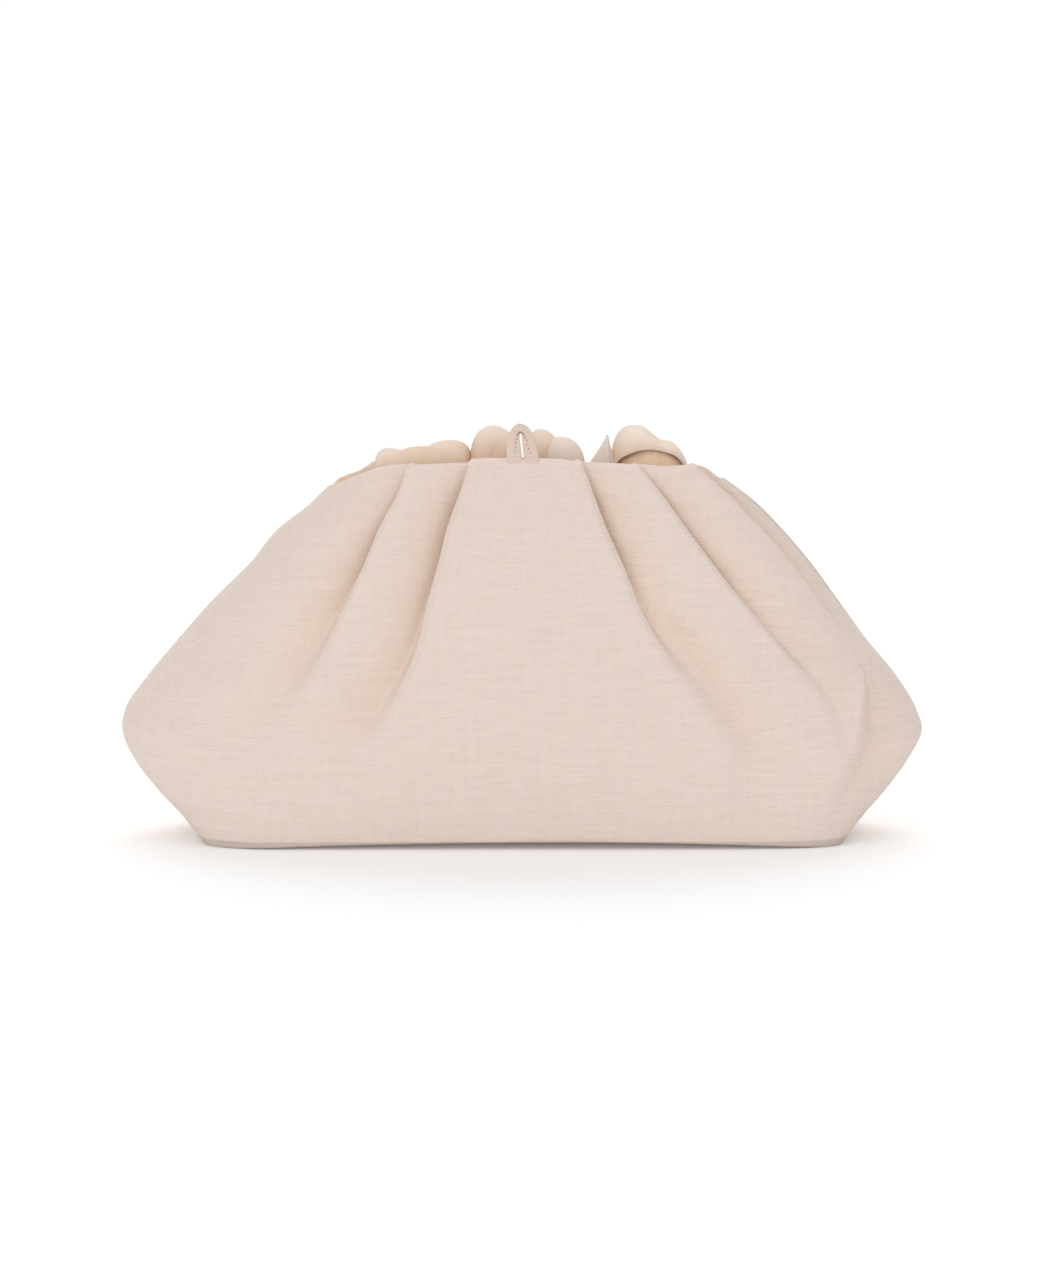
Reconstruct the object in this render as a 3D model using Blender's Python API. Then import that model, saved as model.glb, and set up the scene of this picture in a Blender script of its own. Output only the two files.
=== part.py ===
"""Pouch clutch of pleated cloth: two panels, two gathered strips in the mouth and a tape loop.

Metres, +Z up, the front towards -Y, the origin on the floor under the middle of the clutch.
Each piece is a closed wall, worked out as a grid of points on its outer face and a second grid
one cloth thickness inside it.
"""
from collections import namedtuple
import math

import bmesh
import bpy
import numpy as np

for old in list(bpy.data.objects):
    bpy.data.objects.remove(old, do_unlink=True)

# Driving sizes of the pouch
HALF_WIDTH = 0.1604
HALF_DEPTH = 0.058
SEAM_HEIGHT = 0.1415
FRONT_RISE = 0.0102
BACK_RISE = 0.0022
WALL = 0.0014
HEM = 0.0022
HEM_DROP = 0.004
SEAM_GAP = 0.0003
FIT_GAP = 0.0003

# The base is drawn in near the middle of its long edges
BASE_RECESS = 0.018
RECESS_HEIGHT = 0.012
RECESS_PLACE = 0.15
BASE_SEAM_SHARE = 0.80
BASE_REACH = (0.0, 0.3, 0.6, 0.85)

# Pleats: depth of the deepest one, half width of the step and reach of the valley outside it
FOLD_DEPTH = 0.006
FOLD_LIP = 0.0013
FOLD_SPREAD = 0.028

# Closing loop
LOOP_RISE = 0.0142
LOOP_TAIL = 0.015
LOOP_HALF_WIDTH = 0.0070
LOOP_SLIT = 0.0014
TAPE = 0.0018

# Gathered strips
GATHER_RISE = 0.0224
GATHER_WIDTH = 0.0185
GATHER_TAIL = 0.014
GATHER_WALL = 0.0013

# Horizontal sections of the pouch, bottom to top. Height is a share of SEAM_HEIGHT, left and right of
# HALF_WIDTH and depth of HALF_DEPTH. Squareness is the superellipse's exponent.
Section = namedtuple("Section", "height left right depth squareness")
SECTIONS = (
    Section(0.000, 0.788, 0.796, 0.845, 7.0),
    Section(0.028, 0.810, 0.815, 0.885, 6.0),
    Section(0.071, 0.846, 0.850, 0.925, 4.6),
    Section(0.141, 0.914, 0.912, 0.970, 3.3),
    Section(0.219, 0.972, 0.967, 0.995, 2.6),
    Section(0.297, 1.000, 1.000, 1.000, 2.2),
    Section(0.346, 0.993, 0.986, 0.990, 2.1),
    Section(0.456, 0.931, 0.929, 0.948, 2.1),
    Section(0.551, 0.862, 0.860, 0.888, 2.0),
    Section(0.664, 0.774, 0.787, 0.800, 2.0),
    Section(0.777, 0.675, 0.712, 0.690, 2.0),
    Section(0.866, 0.613, 0.643, 0.583, 2.0),
    Section(0.940, 0.535, 0.576, 0.474, 2.0),
    Section(1.000, 0.485, 0.504, 0.379, 2.1),
)

# How high the front rim stands over the seams, as a share of FRONT_RISE, from the left seam (-1) to the
# right seam (1). The centre panel's edge steps up at the two pleats beside it.
RimPoint = namedtuple("RimPoint", "across rise")
FRONT_RIM = (
    RimPoint(-1.00, 0.00),
    RimPoint(-0.90, 0.35),
    RimPoint(-0.72, 0.62),
    RimPoint(-0.58, 0.70),
    RimPoint(-0.29, 0.71),
    RimPoint(-0.26, 0.86),
    RimPoint(-0.20, 0.96),
    RimPoint(0.00, 1.00),
    RimPoint(0.19, 0.93),
    RimPoint(0.29, 0.82),
    RimPoint(0.32, 0.76),
    RimPoint(0.50, 0.72),
    RimPoint(0.68, 0.63),
    RimPoint(0.83, 0.66),
    RimPoint(0.93, 0.52),
    RimPoint(1.00, 0.10),
)

# Pleats from the rim down. Height is a share of SEAM_HEIGHT, across a share of the section's half width
# and depth a share of FOLD_DEPTH. The cloth nearer the middle lies on top.
Crease = namedtuple("Crease", "height across depth")
OUTER_LEFT = (
    Crease(1.00, -0.585, 0.27),
    Crease(0.90, -0.568, 0.60),
    Crease(0.78, -0.585, 1.00),
    Crease(0.65, -0.588, 0.75),
    Crease(0.49, -0.592, 0.40),
    Crease(0.30, -0.630, 0.10),
    Crease(0.00, -0.740, 0.00),
)
INNER_LEFT = (
    Crease(1.00, -0.255, 0.27),
    Crease(0.89, -0.257, 0.80),
    Crease(0.80, -0.270, 1.00),
    Crease(0.68, -0.305, 0.90),
    Crease(0.55, -0.318, 0.60),
    Crease(0.35, -0.350, 0.20),
    Crease(0.00, -0.520, 0.00),
)
INNER_RIGHT = (
    Crease(1.00, 0.290, 0.27),
    Crease(0.90, 0.310, 0.80),
    Crease(0.77, 0.349, 1.00),
    Crease(0.64, 0.389, 0.90),
    Crease(0.49, 0.445, 0.60),
    Crease(0.30, 0.512, 0.20),
    Crease(0.00, 0.620, 0.00),
)
OUTER_RIGHT = (
    Crease(1.00, 0.580, 0.27),
    Crease(0.90, 0.615, 0.60),
    Crease(0.74, 0.676, 0.65),
    Crease(0.59, 0.740, 0.45),
    Crease(0.42, 0.785, 0.20),
    Crease(0.21, 0.810, 0.00),
    Crease(0.00, 0.840, 0.00),
)
SIDE_RIGHT = (
    Crease(1.00, 0.860, 0.27),
    Crease(0.93, 0.885, 0.50),
    Crease(0.85, 0.930, 0.60),
    Crease(0.68, 0.945, 0.40),
    Crease(0.50, 0.940, 0.15),
    Crease(0.25, 0.930, 0.00),
    Crease(0.00, 0.950, 0.00),
)
FRONT_CREASES = (OUTER_LEFT, INNER_LEFT, INNER_RIGHT, OUTER_RIGHT, SIDE_RIGHT)
FRONT_CELLS = (8, 6, 9, 5, 4, 3)


def straight_crease(top, foot):
    """A plain pleat of the hidden back, straight from its place at the rim to its place at the base."""
    shape = ((1.0, 0.0), (0.8, 0.80), (0.5, 0.50), (0.25, 0.15), (0.0, 0.0))
    return tuple(Crease(height, foot + (top - foot) * height, depth) for height, depth in shape)


BACK_CREASES = (
    straight_crease(-0.60, -0.78),
    straight_crease(-0.26, -0.52),
    straight_crease(0.26, 0.52),
    straight_crease(0.60, 0.78),
)
BACK_CELLS = (8, 6, 8, 6, 8)

# Stations of the gathered strips, valley and lobe by turns. Across is a share of HALF_WIDTH, crest the
# share of GATHER_RISE that the top stands over SEAM_HEIGHT, back the share of GATHER_WIDTH from the front
# leg to the crest, leg how far the front leg is set back and hem how high it ends, both as shares of
# GATHER_WIDTH and GATHER_RISE. A hem under zero is a leg that hangs down into the mouth.
Lobe = namedtuple("Lobe", "across crest back leg hem")
LEFT_LOBES = (
    Lobe(-0.462, 0.06, 0.50, 0.25, -0.60),
    Lobe(-0.390, 0.34, 0.50, 0.20, -0.60),
    Lobe(-0.374, 0.38, 0.55, 0.25, -0.60),
    Lobe(-0.336, 0.57, 0.60, 0.20, -0.60),
    Lobe(-0.306, 0.49, 0.50, 0.15, -0.60),
    Lobe(-0.258, 0.62, 0.40, 0.00, -0.60),
    Lobe(-0.212, 0.56, 0.50, 0.15, -0.60),
    Lobe(-0.172, 0.71, 0.60, 0.15, -0.60),
    Lobe(-0.142, 0.58, 0.50, 0.20, -0.60),
    Lobe(-0.080, 1.00, 0.50, 0.00, -0.60),
    Lobe(-0.012, 0.34, 0.70, 0.35, -0.60),
    Lobe(0.042, 0.92, 0.60, 0.10, -0.60),
    Lobe(0.070, 0.78, 0.50, 0.15, -0.60),
    Lobe(0.094, 0.78, 0.45, 0.00, -0.60),
    Lobe(0.160, 0.28, 0.50, 0.20, -0.60),
)
RIGHT_LOBES = (
    Lobe(0.166, 0.28, 0.40, 0.20, -0.60),
    Lobe(0.210, 0.80, 0.35, 0.00, -0.60),
    Lobe(0.226, 0.36, 0.50, 0.25, -0.40),
    Lobe(0.277, 1.00, 0.50, 0.05, 0.60),
    Lobe(0.330, 0.76, 0.55, 0.10, 0.60),
    Lobe(0.365, 0.70, 0.50, 0.05, 0.50),
    Lobe(0.424, 0.20, 0.50, 0.25, -0.30),
)
LOBE_CELLS = 4
LEG_CELLS = 2
CREST_CELLS = 8

# Stations round the closing loop's outline, left foot to right foot. The outer edge's across and height
# are shares of LOOP_HALF_WIDTH and LOOP_RISE. The slit's edge has half its width and the tape's own top.
LoopPoint = namedtuple("LoopPoint", "outer_across outer_height slit_side slit_height")
LOOP = (
    LoopPoint(-0.98, 0.00, -1.0, 0.00),
    LoopPoint(-0.96, 0.22, -1.0, 0.25),
    LoopPoint(-0.87, 0.55, -1.0, 0.50),
    LoopPoint(-0.66, 0.86, -1.0, 0.70),
    LoopPoint(-0.20, 1.00, -0.6, 0.78),
    LoopPoint(0.30, 0.92, 0.6, 0.78),
    LoopPoint(0.66, 0.70, 1.0, 0.70),
    LoopPoint(0.84, 0.46, 1.0, 0.50),
    LoopPoint(0.93, 0.22, 1.0, 0.25),
    LoopPoint(0.98, 0.00, 1.0, 0.00),
)

FRONT, BACK = -1, 1
RING_STEPS = 721


def cloth_material(name, color, roughness):
    """A plain cloth material."""
    material = bpy.data.materials.new(name)
    material.use_nodes = True
    shader = material.node_tree.nodes["Principled BSDF"]
    shader.inputs["Base Color"].default_value = (*color, 1.0)
    shader.inputs["Roughness"].default_value = roughness
    shader.inputs["Metallic"].default_value = 0.0
    return material


def half_ring(section, side):
    """Half outline of a section, left seam to right seam: |x / a|^n + |y / b|^n = 1 in polar form, with
    its own half width a on each side of the middle. Gives x, y, the outward normal and the length."""
    angle = np.linspace(math.pi, 0.0, RING_STEPS)
    a = np.where(angle > math.pi / 2, section.left, section.right) * HALF_WIDTH
    b = section.depth * HALF_DEPTH
    n = section.squareness
    radius = (np.abs(np.cos(angle) / a) ** n + np.abs(np.sin(angle) / b) ** n) ** (-1.0 / n)
    x = radius * np.cos(angle)
    fade = max(0.0, 1.0 - section.height * SEAM_HEIGHT / RECESS_HEIGHT) ** 2
    off_middle = np.clip((x / a - RECESS_PLACE) / (1.0 + RECESS_PLACE), -1.0, 1.0)
    depth = radius * np.sin(angle) - BASE_RECESS * fade * (1.0 - off_middle**2) ** 2
    y = side * (SEAM_GAP / 2 + np.maximum(depth, 0.0))
    along_x, along_y = np.gradient(x), np.gradient(y)
    size = np.hypot(along_x, along_y)
    length = np.concatenate([[0.0], np.cumsum(np.hypot(np.diff(x), np.diff(y)))])
    return x, y, -side * along_y / size, side * along_x / size, length


def column_lengths(creases, cells):
    """Grid columns along a ring: one each side of every crease, and even cells between them."""
    edges = [0.0]
    for crease in creases[:-1]:
        edges += [crease - FOLD_LIP, crease + FOLD_LIP]
    edges.append(creases[-1])
    runs = []
    for number, count in enumerate(cells):
        runs.append(np.linspace(edges[2 * number], edges[2 * number + 1], count + 1))
    return np.concatenate(runs)


def fold_depth(run, depth):
    """How deep the cloth lies beside a crease: none on the upper side, then the whole depth at the
    fold's foot, easing out along the valley."""
    ease = np.clip((run - FOLD_LIP) / FOLD_SPREAD, 0.0, 1.0)
    return np.where(run < 0.0, 0.0, depth * (1.0 - ease) ** 2 * (1.0 + 2.0 * ease))


def rim_rise(side, across):
    """How far the rim stands over the seams at a share of its half width."""
    if side == BACK:
        return BACK_RISE * (1.0 - across**2)
    return FRONT_RISE * np.interp(across, [p.across for p in FRONT_RIM], [p.rise for p in FRONT_RIM])


def ring_row(section, side, creases, cells):
    """One row of a panel's outer face: the ring, drawn in along its pleats and lifted towards the rim."""
    x, y, normal_x, normal_y, length = half_ring(section, side)
    places, depths, signs = [], [], []
    for crease in creases:
        heights = [point.height for point in reversed(crease)]
        across = np.interp(section.height, heights, [point.across for point in reversed(crease)])
        depth = np.interp(section.height, heights, [point.depth for point in reversed(crease)])
        half_width = (section.left if across < 0 else section.right) * HALF_WIDTH
        places.append(np.interp(across * half_width, x, length))
        depths.append(depth * FOLD_DEPTH)
        signs.append(math.copysign(1.0, across))
    columns = column_lengths(places + [length[-1]], cells)
    inward = np.zeros_like(columns)
    for place, depth, sign in zip(places, depths, signs):
        inward = np.maximum(inward, fold_depth(sign * (columns - place), depth))
    row_x = np.interp(columns, length, x)
    row_y = np.interp(columns, length, y)
    half_width = np.where(row_x < 0, section.left, section.right) * HALF_WIDTH
    row_z = section.height * SEAM_HEIGHT + section.height**4 * rim_rise(side, row_x / half_width)
    row_x -= inward * np.interp(columns, length, normal_x)
    row_y -= inward * np.interp(columns, length, normal_y)
    row_x[0], row_x[-1] = x[0], x[-1]
    row_y[0] = row_y[-1] = side * SEAM_GAP / 2
    return np.stack([row_x, row_y, row_z], axis=1), columns / length[-1]


def panel_face(side, creases, cells):
    """Outer face of a panel: flat base rows out from the seam under the pouch, then the rings."""
    rings = [ring_row(section, side, creases, cells) for section in SECTIONS]
    foot, share = rings[0]
    left, right = (SECTIONS[0].left * HALF_WIDTH, SECTIONS[0].right * HALF_WIDTH)
    seam_x = BASE_SEAM_SHARE * (-left + (left + right) * share)
    seam = np.stack([seam_x, np.full_like(share, side * SEAM_GAP / 2), np.zeros_like(share)], axis=1)
    base = [seam + (foot - seam) * reach for reach in BASE_REACH]
    return np.array(base + [row for row, _ in rings])


def face_normals(face, turn):
    """Unit normals of a grid, from its differences along and across. The turn is 1 or -1."""
    along = np.gradient(face, axis=1)
    up = np.gradient(face, axis=0)
    normals = turn * np.cross(along, up)
    return normals / np.linalg.norm(normals, axis=2, keepdims=True)


def panel_lining(face, side):
    """Inner face of a panel, one wall inside the outer face and a hem's thickness at the rim."""
    base = len(BASE_REACH)
    normals = np.zeros_like(face)
    normals[:base, :, 2] = -1.0
    normals[base:] = face_normals(face[base - 1 :], -side)[1:]
    for edge in (normals[:, 0], normals[:, -1]):
        edge[:, 1] = 0.0
        edge /= np.linalg.norm(edge, axis=1, keepdims=True)
    below_rim = face[-1, :, 2] - face[:, :, 2]
    thickness = np.where(below_rim < HEM_DROP, HEM, WALL)
    inner = face - normals * thickness[:, :, None]
    inner[:, :, 1] = side * np.maximum(side * inner[:, :, 1], SEAM_GAP / 2)
    return inner


def wall_object(name, outer, inner, material):
    """A closed wall between two grids of points: both faces, and the strip round their border."""
    rows, columns = outer.shape[:2]
    mesh = bmesh.new()
    sheets = []
    for grid in (outer, inner):
        verts = [[mesh.verts.new(point) for point in row] for row in grid]
        for r in range(rows - 1):
            for c in range(columns - 1):
                mesh.faces.new((verts[r][c], verts[r][c + 1], verts[r + 1][c + 1], verts[r + 1][c]))
        sheets.append(verts)
    border = [(0, c) for c in range(columns)] + [(r, columns - 1) for r in range(1, rows)]
    border += [(rows - 1, c) for c in range(columns - 2, -1, -1)] + [(r, 0) for r in range(rows - 2, 0, -1)]
    for here, there in zip(border, border[1:] + border[:1]):
        (a, b), (c, d) = here, there
        mesh.faces.new((sheets[0][a][b], sheets[0][c][d], sheets[1][c][d], sheets[1][a][b]))
    bmesh.ops.recalc_face_normals(mesh, faces=mesh.faces)
    data = bpy.data.meshes.new(name)
    mesh.to_mesh(data)
    mesh.free()
    data.shade_smooth()
    data.set_sharp_from_angle(angle=math.radians(50))
    data.materials.append(material)
    piece = bpy.data.objects.new(name, data)
    bpy.context.collection.objects.link(piece)
    return piece


def make_panel(name, side, creases, cells, material):
    """A pleated cloth panel with its half of the base."""
    face = panel_face(side, creases, cells)
    return wall_object(name, face, panel_lining(face, side), material)


def mouth_edge(side, x):
    """Where the inner face of the rim lies in y at a given x."""
    ring_x, ring_y, normal_x, normal_y, _ = half_ring(SECTIONS[-1], side)
    inset = HEM + FIT_GAP
    return np.interp(x, ring_x - normal_x * inset, ring_y - normal_y * inset)


def lobe_line(lobes, field, round_top):
    """Values of one column of a lobe table along its stations. A round top rises from each valley as a
    quarter of an ellipse, so that the lobes are round and the valleys between them sharp."""
    values = []
    for here, there in zip(lobes, lobes[1:]):
        low, high = getattr(here, field), getattr(there, field)
        for step in range(LOBE_CELLS):
            t = step / LOBE_CELLS
            if round_top:
                t = math.sqrt(1.0 - (1.0 - t) ** 2) if high > low else 1.0 - math.sqrt(1.0 - t**2)
            values.append(low + (high - low) * t)
    return np.array(values + [getattr(lobes[-1], field)])


def gather_profile(back, crest, front, knee, hem):
    """Section of a gathered strip: up the back leg, over a half ellipse and down the front leg. Each
    argument but the knees is a place in y or z; the knees are where the two legs meet the ellipse."""
    (back_y, back_z), (crest_y, crest_z), front_y = back, crest, front
    back_knee, front_knee = knee
    points = [(back_y, back_z + (back_knee - back_z) * step / LEG_CELLS) for step in range(LEG_CELLS)]
    for step in range(CREST_CELLS + 1):
        angle = math.pi * step / CREST_CELLS
        side_y, side_z = (back_y, back_knee) if angle <= math.pi / 2 else (front_y, front_knee)
        y = crest_y + abs(math.cos(angle)) * (side_y - crest_y)
        points.append((y, side_z + (crest_z - side_z) * math.sin(angle)))
    points += [(front_y, front_knee + (hem - front_knee) * (step + 1) / LEG_CELLS) for step in range(LEG_CELLS)]
    return points


def make_gathers(name, lobes, material):
    """A gathered strip in the mouth: its back leg lies along the back panel's rim, its crest swells
    into lobes, and its front leg hangs free or ends as a hood."""
    x = lobe_line(lobes, "across", False) * HALF_WIDTH
    crest = SEAM_HEIGHT + lobe_line(lobes, "crest", True) * GATHER_RISE
    forward = lobe_line(lobes, "leg", True)
    lean = lobe_line(lobes, "back", False)
    hem = SEAM_HEIGHT + lobe_line(lobes, "hem", False) * GATHER_RISE
    rows = []
    for station in range(len(x)):
        back_y = mouth_edge(BACK, x[station])
        width = min(GATHER_WIDTH, back_y - mouth_edge(FRONT, x[station]) * 0.30)
        front_y = back_y - width * (1.0 - forward[station])
        crest_y = front_y + (back_y - front_y) * lean[station]
        back_knee = SEAM_HEIGHT + BACK_RISE
        front_knee = max(back_knee, hem[station] + 2 * GATHER_WALL)
        top = crest[station]
        knees = (min(back_knee, top - GATHER_WALL), min(front_knee, top - GATHER_WALL))
        profile = gather_profile(
            (back_y, SEAM_HEIGHT - GATHER_TAIL), (crest_y, top), front_y, knees, min(hem[station], knees[1])
        )
        rows.append([(x[station], y, z) for y, z in profile])
    outer = np.array(rows)
    normals = face_normals(outer, 1)
    return wall_object(name, outer, outer - normals * GATHER_WALL, material)


def make_loop(material):
    """The tape loop: a flat band whose two legs stand side by side over the rim and lean along the
    inside of the front panel below it."""
    rim_z = SEAM_HEIGHT + FRONT_RISE
    heights = np.array([section.height for section in SECTIONS])
    wall_z = heights * SEAM_HEIGHT + heights**4 * FRONT_RISE
    wall_y = np.array([section.depth for section in SECTIONS]) * HALF_DEPTH
    slope = (wall_y[-2] - wall_y[-1]) / (wall_z[-1] - wall_z[-2])
    inset = (HEM + FIT_GAP + TAPE / 2) * math.hypot(1.0, slope)
    tail = LoopPoint(LOOP[0].outer_across, -LOOP_TAIL / LOOP_RISE, LOOP[0].slit_side, -LOOP_TAIL / LOOP_RISE)
    end = tail._replace(outer_across=-tail.outer_across, slit_side=-tail.slit_side)
    rows = []
    for point in (tail, *LOOP, end):
        outer_z = rim_z + point.outer_height * LOOP_RISE
        slit_z = rim_z + point.slit_height * LOOP_RISE
        edge = []
        for x, z in (
            (point.outer_across * LOOP_HALF_WIDTH, outer_z),
            (point.slit_side * LOOP_SLIT / 2, slit_z),
        ):
            y = inset - np.interp(min(z, rim_z), wall_z, wall_y)
            edge.append((x, y, z))
        rows.append(edge)
    middle = np.array(rows)
    half = np.array([0.0, TAPE / 2, 0.0])
    return wall_object("closing_loop", middle - half, middle + half, material)


def build():
    """Make every piece."""
    cloth = cloth_material("blush_cloth", (0.76, 0.65, 0.56), 0.85)
    inner_cloth = cloth_material("gathered_cloth", (0.75, 0.60, 0.50), 0.85)
    tape = cloth_material("loop_tape", (0.76, 0.63, 0.54), 0.8)
    make_panel("front_panel", FRONT, FRONT_CREASES, FRONT_CELLS, cloth)
    make_panel("back_panel", BACK, BACK_CREASES, BACK_CELLS, cloth)
    make_gathers("gathers_left", LEFT_LOBES, inner_cloth)
    make_gathers("gathers_right", RIGHT_LOBES, inner_cloth)
    make_loop(tape)


build()
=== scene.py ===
"""Pouch clutch of pleated blush cloth with a gathered mouth and a tape closing loop, seen from the front."""
import math

import bmesh
import bpy
import numpy as np
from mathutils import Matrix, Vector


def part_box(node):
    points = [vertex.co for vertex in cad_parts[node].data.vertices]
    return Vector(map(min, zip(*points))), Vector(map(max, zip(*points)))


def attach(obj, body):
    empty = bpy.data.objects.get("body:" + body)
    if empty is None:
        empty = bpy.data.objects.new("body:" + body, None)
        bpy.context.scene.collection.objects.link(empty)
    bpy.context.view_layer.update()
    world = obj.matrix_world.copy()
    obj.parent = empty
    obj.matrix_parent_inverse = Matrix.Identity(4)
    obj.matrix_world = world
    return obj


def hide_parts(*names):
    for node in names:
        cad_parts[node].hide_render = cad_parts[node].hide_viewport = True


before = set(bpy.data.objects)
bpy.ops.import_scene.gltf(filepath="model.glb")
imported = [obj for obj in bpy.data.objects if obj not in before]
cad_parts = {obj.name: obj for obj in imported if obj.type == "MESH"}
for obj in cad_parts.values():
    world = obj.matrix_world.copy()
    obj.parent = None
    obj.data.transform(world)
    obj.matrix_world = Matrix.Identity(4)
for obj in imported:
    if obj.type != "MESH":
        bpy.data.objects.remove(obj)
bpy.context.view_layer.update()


# Pleated panels
# Two panels of plain-woven blush cloth make the pouch, one in front and one behind. Each is pleated into
# its folded rim, and they are sewn together down the sides and along the middle of the base.
front_low, front_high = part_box("front_panel")
back_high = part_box("back_panel")[1]
half_width = front_high[0]
half_depth = -front_low[1]
back_rise = 0.0022
seam_height = back_high[2] - back_rise
front_rise = front_high[2] - seam_height
FRONT, BACK = -1, 1

# The rims sag by this much at their left ends, over this share of the half width
corner_drop = 0.0020
corner_reach = 0.10

# The cloth with its lining, the folded hem at the rim, and the gap that the side seams close
wall = 0.0014
hem = 0.0022
hem_drop = 0.006
seam_gap = 0.0003

# Along the floor the wall is drawn in under the pouch, most at recess_place and not at all at the two
# corners, which lie these shares of the half width to its left and right
base_recess = 0.016
recess_height = 0.0034
least_height = 0.00001
recess_place = 0.15
recess_left = 1.10
recess_right = 0.82
base_seam_share = 0.80

# Pleats: depth, half width of the step, overlap, how far the hollow beside the step runs out, how steeply,
# and the low lip in front of it
fold_depth = 0.0082
fold_step = 0.0012
fold_overlap = 0.0014
fold_near = 0.0070
fold_reach = 0.026
fold_steepness = 0.6
fold_open_share = 0.35
lining_shift = 0.35
lip_roll = 0.08
lip_reach = 0.006
step_edge = 0.999
# How fast the painted shade in the folds grows with their depth
fold_shade_gain = 1.2

# Cells of the mesh
ring_steps = 1441
step_cells = 18
roll_rows = 5
base_rows = 12
low_rows = 9
low_band = 0.026
wall_rows = 137
tiny = 1e-12

# Sections of the pouch, bottom to top: height as a share of the seam's, half widths and depth as shares
sections = np.rec.array(
    [
        (0.000, 0.788, 0.796, 0.885, 7.0),
        (0.028, 0.810, 0.815, 0.920, 6.0),
        (0.071, 0.846, 0.850, 0.950, 4.6),
        (0.141, 0.914, 0.912, 0.978, 3.3),
        (0.219, 0.972, 0.967, 0.995, 2.6),
        (0.297, 1.000, 1.000, 1.000, 2.2),
        (0.346, 0.993, 0.986, 0.990, 2.1),
        (0.456, 0.931, 0.929, 0.948, 2.1),
        (0.551, 0.862, 0.860, 0.888, 2.0),
        (0.664, 0.774, 0.787, 0.800, 2.0),
        (0.777, 0.675, 0.712, 0.690, 2.0),
        (0.866, 0.613, 0.643, 0.583, 2.0),
        (0.940, 0.535, 0.576, 0.474, 2.0),
        (1.000, 0.485, 0.504, 0.379, 2.1),
    ],
    names="height,left,right,depth,squareness",
)

# The front rim's rise between the seams; its steps lie at the two pleats beside the middle
front_rim = np.rec.array(
    [
        (-1.000, 0.00),
        (-0.950, 0.10),
        (-0.900, 0.18),
        (-0.830, 0.34),
        (-0.760, 0.52),
        (-0.700, 0.62),
        (-0.580, 0.70),
        (-0.286, 0.71),
        (-0.254, 0.87),
        (-0.200, 0.96),
        (0.000, 1.00),
        (0.190, 0.93),
        (0.276, 0.82),
        (0.304, 0.76),
        (0.500, 0.72),
        (0.680, 0.63),
        (0.830, 0.66),
        (0.930, 0.52),
        (1.000, 0.10),
    ],
    names="across,rise",
)


def crease(rows):
    """One pleat from the rim down: its height, its place across, and how deep, wide and lapped it is."""
    return np.rec.array(rows[::-1], names="height,across,depth,width,lap")


front_creases = (
    crease([
        (1.00, -0.585, 0.27, 1.0, 0.4),
        (0.90, -0.566, 0.65, 1.0, 0.8),
        (0.78, -0.568, 1.05, 1.2, 1.0),
        (0.65, -0.570, 0.85, 2.2, 0.5),
        (0.49, -0.580, 0.42, 4.0, 0.1),
        (0.30, -0.630, 0.18, 6.0, 0.0),
        (0.00, -0.740, 0.00, 6.0, 0.0),
    ]),
    crease([
        (1.00, -0.270, 0.35, 1.0, 0.5),
        (0.91, -0.286, 0.95, 1.0, 1.0),
        (0.80, -0.298, 1.05, 1.2, 1.0),
        (0.68, -0.301, 0.98, 1.5, 1.0),
        (0.56, -0.306, 0.80, 2.2, 0.6),
        (0.46, -0.326, 0.70, 3.0, 0.2),
        (0.36, -0.360, 0.48, 3.8, 0.1),
        (0.27, -0.410, 0.18, 5.0, 0.0),
        (0.00, -0.560, 0.00, 6.0, 0.0),
    ]),
    crease([
        (1.00, 0.290, 0.35, 1.0, 0.5),
        (0.90, 0.300, 0.95, 1.0, 1.0),
        (0.77, 0.337, 0.90, 1.2, 1.0),
        (0.64, 0.374, 0.64, 1.9, 0.5),
        (0.49, 0.436, 0.42, 3.4, 0.1),
        (0.30, 0.520, 0.24, 5.0, 0.0),
        (0.00, 0.620, 0.00, 6.0, 0.0),
    ]),
    crease([
        (1.00, 0.572, 0.27, 1.0, 0.5),
        (0.90, 0.600, 0.76, 1.0, 1.0),
        (0.74, 0.661, 0.82, 1.2, 1.0),
        (0.59, 0.731, 0.50, 2.0, 0.4),
        (0.42, 0.778, 0.24, 3.0, 0.0),
        (0.21, 0.780, 0.00, 1.6, 0.0),
        (0.00, 0.780, 0.00, 1.6, 0.0),
    ]),
    crease([
        (1.00, 0.730, 0.00, 1.0, 0.0),
        (0.60, 0.860, 0.00, 1.2, 0.0),
        (0.50, 0.928, 0.00, 1.2, 0.0),
        (0.46, 0.920, 0.26, 1.6, 0.0),
        (0.40, 0.893, 0.50, 2.8, 0.0),
        (0.33, 0.862, 0.62, 4.2, 0.0),
        (0.25, 0.845, 0.52, 4.8, 0.0),
        (0.16, 0.852, 0.26, 4.6, 0.0),
        (0.08, 0.884, 0.05, 2.6, 0.0),
        (0.00, 0.940, 0.00, 1.2, 0.0),
    ]),
    crease([
        (1.00, 0.868, 0.60, 1.0, 0.5),
        (0.93, 0.884, 0.92, 1.0, 0.8),
        (0.85, 0.910, 0.75, 1.0, 0.7),
        (0.70, 0.938, 0.42, 1.2, 0.3),
        (0.56, 0.958, 0.12, 1.4, 0.0),
        (0.50, 0.975, 0.08, 1.2, 0.0),
        (0.44, 0.975, 0.00, 1.2, 0.0),
        (0.30, 0.965, 0.00, 1.2, 0.0),
        (0.12, 0.970, 0.00, 1.2, 0.0),
        (0.05, 0.985, 0.00, 1.2, 0.0),
        (0.00, 0.985, 0.00, 1.2, 0.0),
    ]),
)

# Cells of the mesh between one crease and the next
front_cells = (44, 28, 54, 26, 18, 12, 10)


def bend(swell, width, round_off, rows):
    """A line where the cloth turns a little: how far it stands out, how wide, how rounded, and its run."""
    return np.rec.array(rows[::-1], names="height,across,share"), swell, width, round_off


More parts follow.
